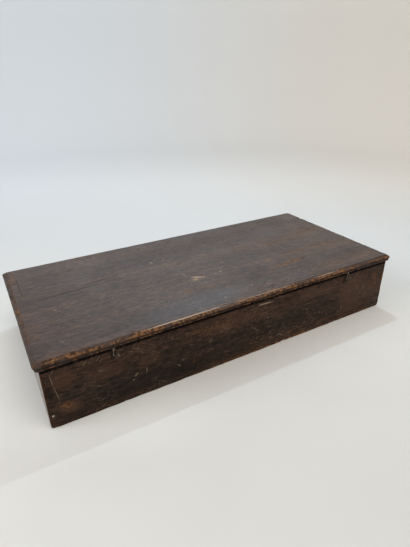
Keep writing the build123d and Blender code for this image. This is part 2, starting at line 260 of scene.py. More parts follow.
# %% [markdown]
# ## Node groups for effects that several finishes share
#
# Grain, rubbed edges, scratches, single marks and dust turn up on more than one finish. They could be
# copied into each material. As groups they are built once, and each material sets its own values.

# %% Group helper
SOCKETS = {"value": "NodeSocketFloat", "vector": "NodeSocketVector", "colour": "NodeSocketColor"}


def group(name, inputs, outputs):
    """An empty node group. Returns it with the values given to it and the node that takes its results."""
    tree = bpy.data.node_groups.new(name, "ShaderNodeTree")
    for title, kind in inputs.items():
        tree.interface.new_socket(name=title, in_out="INPUT", socket_type=SOCKETS[kind])
    for title, kind in outputs.items():
        tree.interface.new_socket(name=title, in_out="OUTPUT", socket_type=SOCKETS[kind])
    return tree, tree.nodes.new("NodeGroupInput").outputs, tree.nodes.new("NodeGroupOutput")


def use(made_group, **inputs):
    """The outputs of a group placed in a material or in another group."""
    titles = {name.replace("_", " "): value for name, value in inputs.items()}
    return add("ShaderNodeGroup", titles, node_tree=made_group).outputs


# %% [markdown]
# ### Grain
#
# Wood grain is a pattern pulled out along the board. A wave texture gives even stripes, which look
# printed. Noise on stretched coordinates, bent a little by slower noise, gives uneven streaks, and the
# same noise at a finer scale gives the open pores that show as short dark lines.

# %% Grain group
grain_group, given, out = group(
    "wood_grain",
    {"Place": "vector", "Fineness": "vector"},
    {"Streaks": "value", "Pores": "value", "Figure": "value"},
)
place = given["Place"]
shift = times(mottle(place, 9.0, 2.0), 2.4)
bend = add("ShaderNodeCombineXYZ", {axis: shift for axis in range(3)}).outputs[0]
stretched = vector_calc("MULTIPLY", place, given["Fineness"])
bent = vector_calc("ADD", stretched, bend)
fine = vector_calc("MULTIPLY", bent, (4.0, 4.0, 4.0))
broad = vector_calc("MULTIPLY", bent, (0.3, 0.3, 0.3))
pores = ease(mottle(fine, 1.0, 2.0), 0.56, 0.70)
feed(out, {"Streaks": mottle(bent, 1.0, 4.0), "Pores": pores, "Figure": mottle(broad, 1.0, 2.0)})
print("grain group:", len(grain_group.nodes), "nodes")

# %% [markdown]
# ### Rubbed edges
#
# Hands and shelves rub the stain off an arris first, and in patches. A bevel node could find the edges
# while rendering, but it is slow and knows nothing of this box. Each board below carries a number, edge,
# that is 1 on an arris and falls away over a millimetre or two. The group sets it against noise, so the
# bare patches start on the arris and run out ragged over the face.

# %% Rub group
rub_group, given, out = group(
    "rubbed_edge",
    {"Place": "vector", "Edge": "value", "Amount": "value", "Patch": "value"},
    {"Mask": "value"},
)
place = given["Place"]
patches = mottle(place, 60.0, 4.0, 0.65)
slow = mottle(place, 11.0, 2.0)
reach = times(given["Edge"], given["Amount"])
uneven = times(minus(patches, 0.5), given["Patch"])
worn = plus(plus(reach, uneven), minus(slow, 0.5))
feed(out, {"Mask": ease(worn, 0.42, 0.62)})
print("rub group:", len(rub_group.nodes), "nodes")

# %% [markdown]
# ### Scratches
#
# Fine scratches run in many directions, but each is straight and comes in a cluster with others. Noise
# pulled out very long and cut off near its peaks gives short straight dashes. Two sets at different
# angles cross each other, and slow noise keeps them in clusters.

# %% Scratch group
scratch_group, given, out = group(
    "scratches",
    {"Place": "vector", "Turn": "vector", "Cross turn": "vector", "Amount": "value"},
    {"Mask": "value"},
)
place = given["Place"]
sets = []
for angle in ("Turn", "Cross turn"):
    inputs = {"Vector": place, "Rotation": given[angle]}
    turned = add("ShaderNodeVectorRotate", inputs, rotation_type="EULER_XYZ").outputs[0]
    drawn = vector_calc("MULTIPLY", turned, (70.0, 1400.0, 1400.0))
    sets.append(ease(mottle(drawn, 1.0, 1.0), 0.66, 0.74))
crossed = larger(*sets)
cluster = ease(mottle(place, 22.0, 2.0), 0.46, 0.66)
feed(out, {"Mask": times(times(crossed, cluster), given["Amount"])})
print("scratch group:", len(scratch_group.nodes), "nodes")

# %% [markdown]
# ### Single marks
#
# Some marks have a place: a gouge near the middle of the lid, a dark oval round each catch. Each is an oval
# with its own centre, half sizes and turn. A mapping node shrinks that oval to a ball of radius one, so
# one distance says how far inside a point lies. Noise on the distance makes the rim ragged.

# %% Mark group
mark_group, given, out = group(
    "single_mark",
    {
        "Place": "vector", "Centre": "vector", "Half size": "vector", "Turn": "vector",
        "Ragged": "value", "Shake": "value",
    },
    {"Mask": "value"},
)
inputs = {
    "Vector": given["Place"], "Location": given["Centre"],
    "Rotation": given["Turn"], "Scale": given["Half size"],
}
shrunk = add("ShaderNodeMapping", inputs, vector_type="TEXTURE").outputs[0]
distance = add("ShaderNodeVectorMath", {0: shrunk}, operation="LENGTH").outputs["Value"]
shaken = calc("MULTIPLY_ADD", given["Shake"], given["Ragged"], distance)
feed(out, {"Mask": ease(shaken, 0.55, 1.1, 1.0, 0.0)})


def marks(place, rows):
    """The strongest of several marks. They share one noise, which makes their rims ragged.

    A row: centre and half sizes in mm, turn in degrees, raggedness, strength.
    """
    strongest = None
    shake = minus(mottle(place, 420.0, 3.0), 0.5)
    for centre, half_size, angle, ragged, strength in rows:
        mask = use(
            mark_group, Place=place, Centre=[v * mm for v in centre], Half_size=[v * mm for v in half_size],
            Turn=in_radians(angle), Ragged=ragged, Shake=shake,
        )["Mask"]
        mask = times(mask, strength)
        strongest = mask if strongest is None else larger(strongest, mask)
    return strongest


print("mark group:", len(mark_group.nodes), "nodes")

# %% [markdown]
# ### Bare wood and pastel dust
#
# Inside, the boards were never stained. They have the warm colour of old softwood, darker along the grain
# lines, with grey handling dirt. Pastels leave a fine dust, mostly pale, with faint smudges of several
# colours where sticks lay. Both are needed inside the case, on the till and under the lid.

# %% Bare wood group
bare_group, given, out = group(
    "bare_wood",
    {"Place": "vector", "Fineness": "vector", "Dust": "value"},
    {"Colour": "colour", "Roughness": "value", "Height": "value"},
)
place = given["Place"]
grain = use(grain_group, Place=place, Fineness=given["Fineness"])
wood = blend(ease(grain["Streaks"], 0.36, 0.66), (0.37, 0.215, 0.105), (0.235, 0.125, 0.058))
wood = blend(ease(grain["Figure"], 0.38, 0.62, 0.0, 0.5), wood, (0.44, 0.275, 0.145))
wood = blend(times(grain["Pores"], 0.45), wood, (0.10, 0.055, 0.03))
dirt = ease(mottle(place, 17.0, 5.0, 0.6), 0.5, 0.72, 0.0, 0.55)
wood = blend(dirt, wood, (0.13, 0.085, 0.055))
smudge_place = mottle(place, 24.0, 3.0, 0.5)
hue_place = mottle(place, 7.0, 1.0)
hues = add("ShaderNodeValToRGB", {"Fac": hue_place})
stops = (
    (0.30, (0.62, 0.56, 0.46)), (0.42, (0.55, 0.28, 0.24)), (0.48, (0.62, 0.47, 0.20)),
    (0.54, (0.60, 0.58, 0.54)), (0.60, (0.22, 0.33, 0.46)), (0.70, (0.30, 0.42, 0.28)),
)
while len(hues.color_ramp.elements) < len(stops):
    hues.color_ramp.elements.new(0.5)
for element, (position, colour) in zip(hues.color_ramp.elements, stops):
    element.position = position
    element.color = (*colour, 1)
smudge = times(ease(smudge_place, 0.50, 0.78), given["Dust"])
wood = blend(smudge, wood, hues.outputs["Color"])
haze = ease(mottle(place, 55.0, 5.0, 0.7), 0.35, 0.8)
film = times(haze, given["Dust"])
wood = blend(times(film, 0.45), wood, (0.60, 0.56, 0.50))
roughness = ease(grain["Streaks"], 0.3, 0.7, 0.62, 0.8)
height = minus(grain["Streaks"], times(grain["Pores"], 0.6))
feed(out, {"Colour": wood, "Roughness": roughness, "Height": height})
print("bare wood group:", len(bare_group.nodes), "nodes")

# %% [markdown]
# ## Dark stained wood
#
# The outside is thin dark stain over brown wood, waxed and rubbed for a long time. On the real box the
# lid looks grey brown, because the smooth wax mirrors the pale room, while the colour below is nearly
# black brown. One flat grey would look wrong from every other side. So the colour stays dark and warm,
# and a low roughness lets the room make the sheen. The inner faces of the same boards are bare, and a
# mask from the case's inner walls keeps stain and bare wood apart.

# %% Colours and masks of the stained wood
# Noise cells per metre along X, Y and Z. They are longest along the grain.
ALONG_X = (6.0, 165.0, 165.0)
ALONG_Y = (165.0, 6.0, 165.0)
FLECK_ALONG = 110.0
FLECK_ACROSS = 470.0
SPECK_ALONG = 380.0
SPECK_ACROSS = 1500.0

FLECK_TONE = (0.105, 0.058, 0.036)
WORN_WOOD = (0.200, 0.088, 0.030)
DIRTY_WOOD = (0.034, 0.013, 0.005)
THIN_STAIN = (0.046, 0.019, 0.008)
DARK_STAIN = (0.010, 0.007, 0.006)
# A bluish tone that paints in the lid's reflection of the pale room
PAINTED_REFLECTION_BLUE = (0.048, 0.050, 0.062)
# Near black for dirt together with painted shade under the lid's edge and in its moulding
SHADE_AND_DIRT_BLACK = (0.003, 0.002, 0.002)
# Pale tone of the highlight painted along the lid's step
PAINTED_HIGHLIGHT_TONE = (0.40, 0.33, 0.28)
PALE_SCRATCH = (0.30, 0.215, 0.14)

INSIDE_MARGIN = Vector((0.7, 0.7, 1.6)) * mm
# How far below the lid's underside the painted shade and dirt on the case begin, and where they are full
SHADE_AND_DIRT_START = 4.0 * mm
SHADE_AND_DIRT_FULL = 2.6 * mm
RIM_START = 0.75 * mm
RIM_CLEAN = 0.6 * mm


def inside_the_case(place):
    """1 on faces that look into the closed box, 0 on all others. The margin takes in worn, wavy faces."""
    middle = (inner_low + inner_high) / 2
    half = (inner_high - inner_low) / 2 + INSIDE_MARGIN
    away = vector_calc("ABSOLUTE", vector_calc("SUBTRACT", place, tuple(middle)))
    past = vector_calc("SUBTRACT", away, tuple(half))
    level = larger(part(past, 0), part(past, 1))
    return calc("LESS_THAN", larger(level, part(past, 2)), 0.0)


def shade_and_dirt_under_the_lid(place):
    """1 where the overhang keeps dirt on the case and its shade falls, which is painted in near black. The
    rim itself stays clean.

    The lower line of this painted shade and dirt bows as the lid's front edge does.
    """
    across = part(place, 0)
    up = part(place, 2)
    drop = times(times(across, across), bow_height / half_length ** 2)
    shaded = ease(plus(up, drop), lid_low.z - SHADE_AND_DIRT_START, lid_low.z - SHADE_AND_DIRT_FULL)
    below_rim = ease(up, lid_low.z - RIM_START, lid_low.z - RIM_CLEAN, 1.0, 0.0)
    return times(shaded, below_rim)


def board_value(place, name):
    """A number that the board's own points carry, such as how near to an arris they are."""
    reader = place.id_data.nodes.new("ShaderNodeAttribute")
    reader.attribute_name = name
    return reader.outputs["Fac"]


def dirt_and_painted_shade(place, on_case):
    """Where dirt and painted shade lie: on the case under the overhang, on the lid in its moulding."""
    if on_case:
        return shade_and_dirt_under_the_lid(place)
    uneven = ease(mottle(place, 70.0, 3.0), 0.36, 0.60, 0.7, 1.0)
    return times(board_value(place, "grime"), uneven)


def along_grain(place, fineness, along, across):
    """The place scaled for noise with this many cells per metre along and across the grain."""
    cells = [along if value == min(fineness) else across for value in fineness]
    return vector_calc("MULTIPLY", place, cells)


def stain_colour(place, fineness, grain, tones, fleck_tone):
    """The stain before any wear: streaks, broad figure, open pores, darker patches and fine flecks."""
    deep, middling, warm, black = tones
    colour = blend(ease(grain["Streaks"], 0.40, 0.60), deep, middling)
    colour = blend(ease(grain["Figure"], 0.46, 0.62, 0.0, 0.75), colour, warm)
    colour = blend(times(grain["Pores"], 0.6), colour, black)
    patch = ease(mottle(place, 14.0, 5.0, 0.65), 0.40, 0.68, 0.0, 0.6)
    colour = blend(patch, colour, deep)
    flecks = mottle(along_grain(place, fineness, FLECK_ALONG, FLECK_ACROSS), 1.0, 4.0, 0.7)
    colour = blend(ease(flecks, 0.49, 0.61, 0.0, 0.78), colour, black)
    return blend(ease(flecks, 0.46, 0.33, 0.0, 0.5), colour, fleck_tone)


def bare_patches(place, edge, rub, rust):
    """Where the stain is rubbed through, and the colour of the wood that shows there."""
    bare = use(rub_group, Place=place, Edge=edge, Amount=rub, Patch=2.0)["Mask"]
    if rust:
        bare = larger(bare, marks(place, rust))
    dirty = ease(mottle(place, 240.0, 3.0), 0.42, 0.58)
    return bare, blend(dirty, WORN_WOOD, DIRTY_WOOD)


def pale_specks(place, fineness):
    """Short pale specks along the grain, which come in crowds."""
    crowd = ease(mottle(place, 20.0, 2.0), 0.44, 0.62, 0.1, 0.5)
    cells = along_grain(place, fineness, SPECK_ALONG, SPECK_ACROSS)
    return times(ease(mottle(cells, 1.0, 1.0), 0.68, 0.76), crowd)


print("stained wood helpers ready")

# %% [markdown]
# ### The stained finish
#
# Wear lies on the real wood in layers: stain first, then spots in the wax, bare wood where it is rubbed
# through, dirt over that, and the newest scratches on top. Painted light goes in among them: a bluish
# reflection of the room before the bare wood, near black shade with the dirt, and a pale highlight on the
# lid's step before the scratches. The layers could be blended in any order, but in this one the later
# ones cross the earlier ones as they do on the box. The height under the bump takes only grain and fine
# scratches. A bump asks for its height three times, and with the single marks in it the lid's shader
# gets too large to render.

# %% Stained wood material
def stained_wood(
    name, fineness, scratch_turns, tones, shine, rub, on_case, fleck_tone=FLECK_TONE,
    pale=(), rust=(), wash=(), dark=(), gloss=(), painted_highlight=(), painted_reflection=(),
):
    """Dark stained wood with its wear and dirt, and painted shade, highlight and reflection.

    The inputs from pale to the last are rows of single marks.
    """
    material, skin, place = new_material(name)
    grain = use(grain_group, Place=place, Fineness=fineness)
    colour = stain_colour(place, fineness, grain, tones, fleck_tone)
    if wash:
        colour = blend(marks(place, wash), colour, tones[2])
    sunk = marks(place, dark) if dark else 0.0
    colour = blend(sunk, colour, DARK_STAIN)
    # A painted reflection: bluish patches where the waxed lid mirrors the room
    if painted_reflection:
        colour = blend(marks(place, painted_reflection), colour, PAINTED_REFLECTION_BLUE)

    edge = board_value(place, "edge")
    colour = blend(times(edge, 0.8), colour, THIN_STAIN)
    bare, wood = bare_patches(place, edge, rub, rust)
    colour = blend(bare, colour, wood)
    # Dirt and painted shade, near black: on the case under the lid's edge, on the lid in its moulding
    dirt = dirt_and_painted_shade(place, on_case)
    colour = blend(dirt, colour, SHADE_AND_DIRT_BLACK)
    # A painted highlight along the lid's step
    if painted_highlight:
        colour = blend(marks(place, painted_highlight), colour, PAINTED_HIGHLIGHT_TONE)
    turn, cross_turn = [in_radians(angles) for angles in scratch_turns]
    scratch = use(scratch_group, Place=place, Turn=turn, Cross_turn=cross_turn, Amount=0.5)["Mask"]
    pale_marks = larger(scratch, marks(place, pale)) if pale else scratch
    pale_mask = larger(pale_marks, pale_specks(place, fineness))
    colour = blend(pale_mask, colour, PALE_SCRATCH)

    inside = inside_the_case(place)
    plain = use(bare_group, Place=place, Fineness=fineness, Dust=0.35)
    specular, least_roughness = shine
    feed(skin, {"Base Color": blend(inside, colour, plain["Colour"]), "Specular IOR Level": specular})
    dull = ease(mottle(place, 30.0, 4.0, 0.6), 0.3, 0.7, least_roughness, least_roughness + 0.12)
    if gloss:
        dull = calc("MULTIPLY_ADD", marks(place, gloss), -0.12, dull)
    rubbed = larger(bare, pale_marks)
    dusty = larger(dirt, edge)
    for mask, extra in ((rubbed, 0.25), (sunk, 0.3), (dusty, 0.45)):
        dull = calc("MULTIPLY_ADD", mask, extra, dull)
    both = dict(zip(NUMBER_INPUTS, (dull, plain["Roughness"])))
    rough = add("ShaderNodeMix", {"Factor": inside, **both}, data_type="FLOAT").outputs[0]
    feed(skin, {"Roughness": rough})
    hollow = times(plus(grain["Pores"], scratch), 0.3)
    height = minus(times(grain["Streaks"], 0.5), hollow)
    set_bump(skin, height, 0.25, 0.5)
    return material


print("stained finish ready")

# %% [markdown]
# ### Where the marks are
#
# The lid has a pale gouge with a few chips beside it, scratches across the grain, a long check in the
# wood on the left and warm rubbed streaks. A bluish reflection of the room near the front and a pale
# highlight along the step of the front moulding are painted in as marks too. Painting them by hand on an
# image would be quick, but images don't travel with the part. As rows of numbers in millimetres they
# stay with the wood.

# %% Marks on the lid
top = lid_high.z / mm
HALF_DEPTH = 4.0


def on_lid(rows):
    """Marks on the lid's top. A row: x, y, half sizes along both, turn, raggedness, strength."""
    return [((x, y, top), (a, b, HALF_DEPTH), (0, 0, turn), *rest) for x, y, a, b, turn, *rest in rows]


lid_pale = on_lid([
    (-27, -31, 11.5, 2.4, -24, 1.1, 0.95), (-33, -35, 4.5, 3.6, 0, 1.2, 0.85),
    (-40, -16, 0.8, 8, 0, 0.9, 0.55), (7, -32, 2.0, 1.8, 0, 0.6, 0.75),
    (-1.8, -34.6, 2.2, 1.5, 0, 0.8, 0.7), (-62.9, 40.9, 2.2, 2.2, 0, 0.6, 0.8),
    (-43, 43, 0.7, 5.5, -17, 0.5, 0.5), (-45, 10.7, 5.4, 0.8, -24, 0.5, 0.55),
    (-64.5, -22, 15, 0.6, 5, 0.5, 0.4), (86, -34, 6, 1.6, 4, 1.3, 0.35),
    (21.4, -84.9, 1.5, 1.5, 0, 0.6, 0.7), (-24.4, -94.4, 1.4, 1.4, 0, 0.6, 0.7),
    (43, -90, 6, 0.5, 52, 0.3, 0.5), (49, -88, 5, 0.5, 52, 0.3, 0.4),
    (101, -83, 4.2, 0.7, 61, 0.4, 0.6), (-90, -40, 6, 0.5, 30, 0.4, 0.4),
    (-208, -20, 2.4, 1.0, 30, 0.8, 0.6), (-196, -12, 1.3, 0.8, 0, 0.8, 0.5),
    (150, 44, 14, 0.5, 4, 0.3, 0.35), (110, -20, 10, 0.45, -8, 0.3, 0.4),
    (172, 92, 7, 0.8, 12, 0.5, 0.5), (120, -88, 9, 0.5, 60, 0.3, 0.4),
    (-45, 58, 1.2, 0.9, 0, 0.7, 0.55), (-40, 34, 0.6, 3.5, 12, 0.7, 0.5),
    (-44, 10, 1.6, 0.7, -20, 0.7, 0.55),
])
lid_rust = on_lid([
    (-240, 96, 3.5, 40, 0, 0.9, 0.3), (-244.6, 20, 0.8, 110, 0, 0.3, 0.75),
    (-150, 104, 60, 4, -1, 1.2, 0.30), (130, 10, 90, 5, -2, 1.2, 0.30),
    (170, -30, 70, 4, -2, 1.2, 0.42), (60, 66, 60, 4, 1, 1.2, 0.22),
    (205, 30, 40, 16, 6, 1.2, 0.25), (-60, 96, 40, 6, 1, 1.2, 0.2),
    (109, -57, 36, 5, 6, 1.3, 0.7), (-58, -60, 8, 5, 0, 1.3, 0.35),
    (-26, -64, 9, 2.6, -8, 1.3, 0.4), (66, -66, 16, 4, 8, 1.3, 0.25),
])
lid_dark = on_lid([
    (-190, 14, 46, 1.0, 4, 0.9, 0.9), (-150, 24, 26, 0.9, 9, 0.9, 0.85),
    (-182, 6, 24, 0.6, 1, 0.8, 0.8), (-214, -8, 20, 0.6, -5, 0.8, 0.7),
    (-170, -36, 30, 0.6, 3, 0.5, 0.6), (-206, -70, 22, 0.6, -3, 0.5, 0.55),
    (-236, 60, 1.2, 34, 0, 0.5, 0.5), (243, 81, 5, 2.4, 20, 0.8, 0.9),
    (-110, 6, 7, 0.9, 12, 0.8, 0.6), (-120, 40, 4, 0.8, 30, 0.8, 0.5),
    (205, -76, 50, 16, 4, 1.3, 0.28), (150, 98, 90, 14, 2, 1.3, 0.22),
    (-150, -92, 80, 8, 3, 1.3, 0.18), (60, 70, 200, 42, 2, 1.4, 0.2),
    (30, -60, 50, 22, 6, 1.4, 0.2),
])
lid_gloss = on_lid([(-30, -104, 90, 34, 6, 0.4, 0.9)])
# A painted highlight: a pale line along the step of the front moulding
lid_painted_highlight = on_lid([
    (-84, -109.7, 62, 0.85, 0, 0.5, 0.95), (24, -109.6, 60, 0.8, 0, 1.2, 0.5),
    (126, -110.2, 26, 0.9, 0, 1.2, 0.6),
])
# A painted reflection: bluish patches where the waxed lid mirrors the pale room
lid_painted_reflection = on_lid([
    (-60, -88, 80, 18, 3, 1.3, 0.42),
    (90, -94, 26, 10, 0, 1.3, 0.4), (150, 60, 60, 20, 4, 1.3, 0.2),
])
print("marks on the lid:", len(lid_pale + lid_rust + lid_dark + lid_gloss + lid_painted_highlight + lid_painted_reflection))

# %% [markdown]
# The front board has a dark oval round each catch, a rubbed left corner, a few dark spots and warm
# streaks along its lower edge. Noise could scatter such marks over it, but on the real board they have
# their places, so they are rows as well.

# %% Marks on the front
face = front_low.y / mm


def on_front(rows):
    """Marks on the front board's outer face. A row is as for the lid, with z in place of y."""
    return [((x, face, z), (a, HALF_DEPTH, b), (0, turn, 0), *rest) for x, z, a, b, turn, *rest in rows]


front_pale = on_front([
    (-235.5, 61, 0.4, 9, -6, 0.3, 0.5), (-233, 43, 0.4, 11, -10, 0.4, 0.45),
    (-137, 33, 0.4, 5, 2, 0.5, 0.65), (-149, 32, 3.6, 0.9, -38, 1.6, 0.6),
    (-153, 26, 1.6, 0.8, -10, 1.4, 0.5), (-97, 23, 3.4, 0.8, 42, 1.6, 0.55),
    (-92, 29, 2.4, 0.6, 20, 1.4, 0.45), (-55, 42, 0.5, 4, 35, 0.8, 0.4),
    (-40, 50, 3, 0.5, -20, 0.9, 0.4), (24.5, 69.6, 13, 1.0, 2, 0.9, 0.85),
    (163, 21, 0.6, 4.2, 10, 0.8, 0.6), (158, 15, 0.6, 3, -10, 0.8, 0.5),
    (120, 26, 0.5, 3, 15, 0.8, 0.35), (60, 22, 0.5, 4, -8, 0.8, 0.35),
    (202, 44, 0.5, 3, 20, 0.8, 0.35), (-186, 52, 5, 0.4, 14, 0.8, 0.35),
])
front_rust = on_front([
    (-226, 25, 8, 5, 30, 1.4, 0.45), (46, 1, 130, 3.2, 0, 1.8, 0.9),
    (243.4, 50, 2.4, 26, 0, 1.6, 0.95), (190, 3, 50, 3, 0, 1.6, 0.4),
    (-76, 22, 4, 3, 0, 1.8, 0.35), (224, 50, 8, 18, 0, 1.6, 0.22),
    (-60, 60, 40, 3, 3, 1.8, 0.26),
])
front_wash = on_front([
    (-224, 58, 15, 11, 0, 1.0, 0.55), (-182, 48, 26, 9, 2, 1.2, 0.40),
    (-223, 21, 15, 9, 20, 1.2, 0.8), (110, 60, 50, 9, 0, 1.2, 0.4),
    (184, 42, 36, 28, 0, 1.2, 0.65), (222, 40, 22, 26, 0, 1.2, 0.5),
    (-20, 56, 60, 9, 2, 1.4, 0.3), (182, 18, 28, 13, 0, 1.3, 0.6),
    (-132, 46, 16, 7, 0, 1.3, 0.4),
])
# The first two rows darken an oval round each catch
front_dark = on_front([
    (-172, 68, 3.6, 8, 6, 0.7, 0.8), (161, 66, 3.8, 7, 0, 0.7, 0.8),
    (-240, 46, 5, 10, 4, 1.0, 0.75), (-214, 8, 26, 8, 4, 1.2, 0.5),
    (200, 31, 1.6, 2.2, 15, 0.8, 0.85), (113, 68, 0.9, 7, 0, 0.4, 0.9),
    (-130, 16, 90, 15, 0, 1.3, 0.55), (-190, 14, 18, 9, 0, 1.3, 0.5),
    (60, 64, 30, 5, 2, 1.3, 0.3), (4, 45, 22, 9, 2, 1.3, 0.35),
    (40, 30, 60, 12, 2, 1.3, 0.35), (-40, 36, 50, 6, 2, 1.4, 0.35),
])
print("marks on the front:", len(front_pale + front_rust + front_wash + front_dark))

# %% [markdown]
# ### The four stained woods
#
# Lid, front, back and ends are one wood under one stain, but they aged apart: the lid's wax still shines
# and the case is dull. The ends get paler tones, which paint in the room's pale reflection on the left
# end. One material for all would be simpler and would lose this, so each gets its own tones.

# %% Make the stained woods
# How far the two sets of fine scratches are turned on each kind of face, in degrees
FACE_UP = ((0, 0, 62), (0, 0, -35))
FACE_FRONT = ((0, 55, 0), (0, -30, 0))
FACE_SIDE = ((90, 0, 50), (50, 0, 90))

# Each set of tones is deep, middling, warm and black. A shine is a specular level and the least roughness.
LID_TONES = ((0.041, 0.0250, 0.0215), (0.063, 0.0395, 0.0330), (0.094, 0.0490, 0.0325), (0.014, 0.009, 0.008))
CASE_TONES = ((0.021, 0.012, 0.008), (0.040, 0.022, 0.0135), (0.070, 0.0345, 0.0195), (0.006, 0.004, 0.003))
# The ends' tones are paler than the case's, which paints in the room's reflection on the left end
END_TONES_PAINTED_PALE = ((0.098, 0.052, 0.031), (0.156, 0.082, 0.047), (0.205, 0.104, 0.057), (0.022, 0.014, 0.010))
LID_FLECKS = (0.145, 0.107, 0.092)
LID_SHINE = (0.5, 0.30)
CASE_SHINE = (0.12, 0.52)
END_SHINE = (1.0, 0.18)

lid_wood = stained_wood(
    "lid_wood", ALONG_X, FACE_UP, LID_TONES, LID_SHINE, rub=0.65, on_case=False, fleck_tone=LID_FLECKS,
    pale=lid_pale, rust=lid_rust, dark=lid_dark, gloss=lid_gloss, painted_highlight=lid_painted_highlight, painted_reflection=lid_painted_reflection,
)
front_wood = stained_wood(
    "front_wood", ALONG_X, FACE_FRONT, CASE_TONES, CASE_SHINE, rub=0.6, on_case=True,
    pale=front_pale, rust=front_rust, wash=front_wash, dark=front_dark,
)
back_wood = stained_wood("back_wood", ALONG_X, FACE_FRONT, CASE_TONES, CASE_SHINE, rub=0.8, on_case=True)
end_wood_painted_pale = stained_wood("end_wood_painted_pale", ALONG_Y, FACE_SIDE, END_TONES_PAINTED_PALE, END_SHINE, rub=0.8, on_case=True)
print("lid wood:", len(lid_wood.node_tree.nodes), "nodes")


# %% [markdown]
# ## Bare wood for the till, dividers, runners and bottom
#
# These pieces are unstained, dusty and darkened by hands along their arrises. They differ only in which
# way their grain runs. A material for each piece would repeat itself, so one function makes two.

# %% Bare wood materials
HANDLED_WOOD = (0.115, 0.062, 0.032)


def inner_wood(name, fineness):
    """Bare wood with pastel dust, darkened along its arrises."""
    material, skin, place = new_material(name)
    plain = use(bare_group, Place=place, Fineness=fineness, Dust=0.55)
    edge = board_value(place, "edge")
    handled = use(rub_group, Place=place, Edge=edge, Amount=0.75, Patch=1.2)["Mask"]
    colour = blend(times(handled, 0.65), plain["Colour"], HANDLED_WOOD)
    feed(skin, {"Base Color": colour, "Roughness": plain["Roughness"]})
    set_bump(skin, plain["Height"], 0.25, 0.6)
    return material


long_inner_wood = inner_wood("long_inner_wood", ALONG_X)
cross_inner_wood = inner_wood("cross_inner_wood", ALONG_Y)
print("bare wood materials made")


# %% [markdown]
# ## Metals
#
# Brass goes brown where nobody touches it and stays yellow where it rubs. Iron nails rust dark, and only
# the lowest one at the left is rubbed bright. Screws and catches are dull steel. Each metal could have a
# recipe of its own, but all four are clean metal under a dull film, with a mask of noise between them.

# %% Metal materials
def old_metal(name, clean, film, clean_share, patch_size, clean_roughness, rubbed=()):
    """Metal under a dull film in patches, whose size is in mm. rubbed holds rows of bright marks."""
    material, skin, place = new_material(name)
    patches_per_metre = 1 / (patch_size * mm)
    patches = mottle(place, patches_per_metre, 5.0, 0.65)
    middle = 0.5 + (0.5 - clean_share) * 0.5
    bright = ease(patches, middle - 0.09, middle + 0.09)
    if rubbed:
        bright = larger(bright, marks(place, rubbed))
    fine = mottle(place, 3 * patches_per_metre, 3.0)
    shade = blend(fine, film, [v * 0.5 for v in film])
    colour = blend(bright, shade, clean)
    metallic = ease(bright, 0.0, 1.0, 0.35, 1.0)
    rough = ease(bright, 0.0, 1.0, 0.75, clean_roughness)
    uneven = calc("MULTIPLY_ADD", fine, 0.08, rough)
    feed(skin, {"Base Color": colour, "Metallic": metallic, "Roughness": uneven})
    set_bump(skin, fine, 0.08, 0.5)
    return material


lowest_nail = on_front([(-240.7, 17, 1.6, 1.6, 0, 0.2, 1.0)])
metal_of = {
    "hinge_brass": old_metal("hinge_brass", (0.56, 0.40, 0.16), (0.12, 0.075, 0.035), 0.45, 4.0, 0.32),
    "screw_steel": old_metal("screw_steel", (0.34, 0.32, 0.29), (0.10, 0.065, 0.045), 0.50, 1.5, 0.38),
    "iron_nail": old_metal(
        "nail_iron", (0.42, 0.39, 0.36), (0.030, 0.017, 0.011), 0.10, 2.0, 0.55, rubbed=lowest_nail,
    ),
    "steel_wire": old_metal("wire_steel", (0.31, 0.25, 0.19), (0.040, 0.026, 0.018), 0.40, 1.2, 0.50),
}
print("four metals made")

# %% [markdown]
# ## Boards with a used surface
#
# The CAD boards are perfect: flat faces and even arrises. Hand planing, drying and knocks make the real
# ones slightly wavy, and blunt where they were bumped. A voxel remesh could make them dense enough to
# shape, but it eats millimetre mouldings. Here each CAD board is copied and cut across like a loaf, so
# the copy keeps every rebate, groove and moulding and still gains points to move. Points only move
# inwards, so a board never grows out of its CAD size.

# %% Cut a copy of a board into cells
def cell_places(low, high, size):
    """The places of the cuts that share a length into cells of about this size."""
    count = max(1, round((high - low) / size))
    return [low + (high - low) * i / count for i in range(1, count)]


def slice_up(board, low, high, cells):
    """Cuts the board at even steps. cells holds the steps along X, Y and Z in mm, or 0 for no cuts."""
    for axis, size in enumerate(cells):
        if not size:
            continue
        across = Vector((0, 0, 0))
        across[axis] = 1
        for value in cell_places(low[axis], high[axis], size * mm):
            all_of_it = board.verts[:] + board.edges[:] + board.faces[:]
            bmesh.ops.bisect_plane(board, geom=all_of_it, plane_co=across * value, plane_no=across, dist=1e-7)


def copy_board(node):
    """The CAD board as an editable mesh, with its flat faces whole again."""
    board = bmesh.new()
    board.from_mesh(frame["nodes"][node].data)
    bmesh.ops.remove_doubles(board, verts=board.verts, dist=1e-6)
    bmesh.ops.dissolve_limit(board, angle_limit=math.radians(0.5), verts=board.verts, edges=board.edges)
    return board


def chip_corner(board, corner, direction, depth):
    """Planes a small facet off a corner, as a knock does. The depth is in mm."""
    away = Vector(direction).normalized()
    place = Vector(corner) - away * depth * mm
    all_of_it = board.verts[:] + board.edges[:] + board.faces[:]
    bmesh.ops.bisect_plane(board, geom=all_of_it, plane_co=place, plane_no=away, clear_outer=True)
    rim = [e for e in board.edges if e.is_boundary]
    bmesh.ops.holes_fill(board, edges=rim)


# %% [markdown]
# ### Moving the points
#
# Three things shape a used board, from large to small: slow waves from planing and drying, arrises worn
# round in uneven patches, and dents. All of them are sums on the list of points, which is much faster
# than moving points one by one. The worn copy then takes the CAD board's place and rides on its body.

